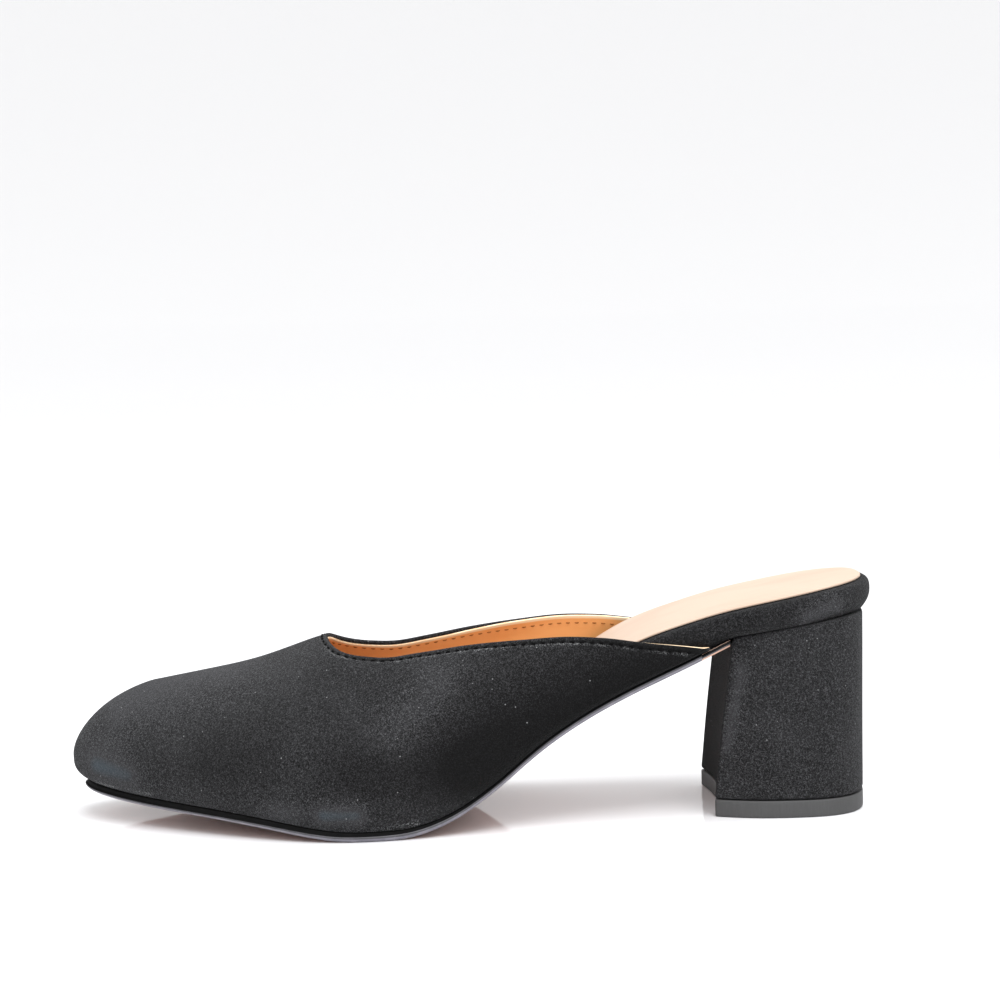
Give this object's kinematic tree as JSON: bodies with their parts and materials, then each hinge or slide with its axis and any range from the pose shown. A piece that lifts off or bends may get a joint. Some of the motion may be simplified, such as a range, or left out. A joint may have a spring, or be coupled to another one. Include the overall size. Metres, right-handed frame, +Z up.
{
  "type": "mule",
  "caption": "Open-back mule with a closed almond toe, a low curved topline, a leather-lined upper, a padded footbed and a covered block heel.",
  "frame": {"origin": "on the floor, under the middle of the shoe's length and width", "axes": "+Z up; +Y from toe to heel along the shoe; +X towards the outer side of the foot"},
  "size_m": [0.0864, 0.2406, 0.0685],
  "materials": {
    "suede": "black suede with a short soft nap",
    "insole": "smooth pale peach sock leather",
    "outsole": "thin smooth outsole, black painted edge, brown underside",
    "top_piece": "matt dark rubber"
  },
  "bodies": {
    "root": {"outsole": "outsole", "top_piece": "top_piece", "heel_block": "suede", "footbed": "suede", "insole": "insole", "upper": "suede"}
  },
  "joints": []
}
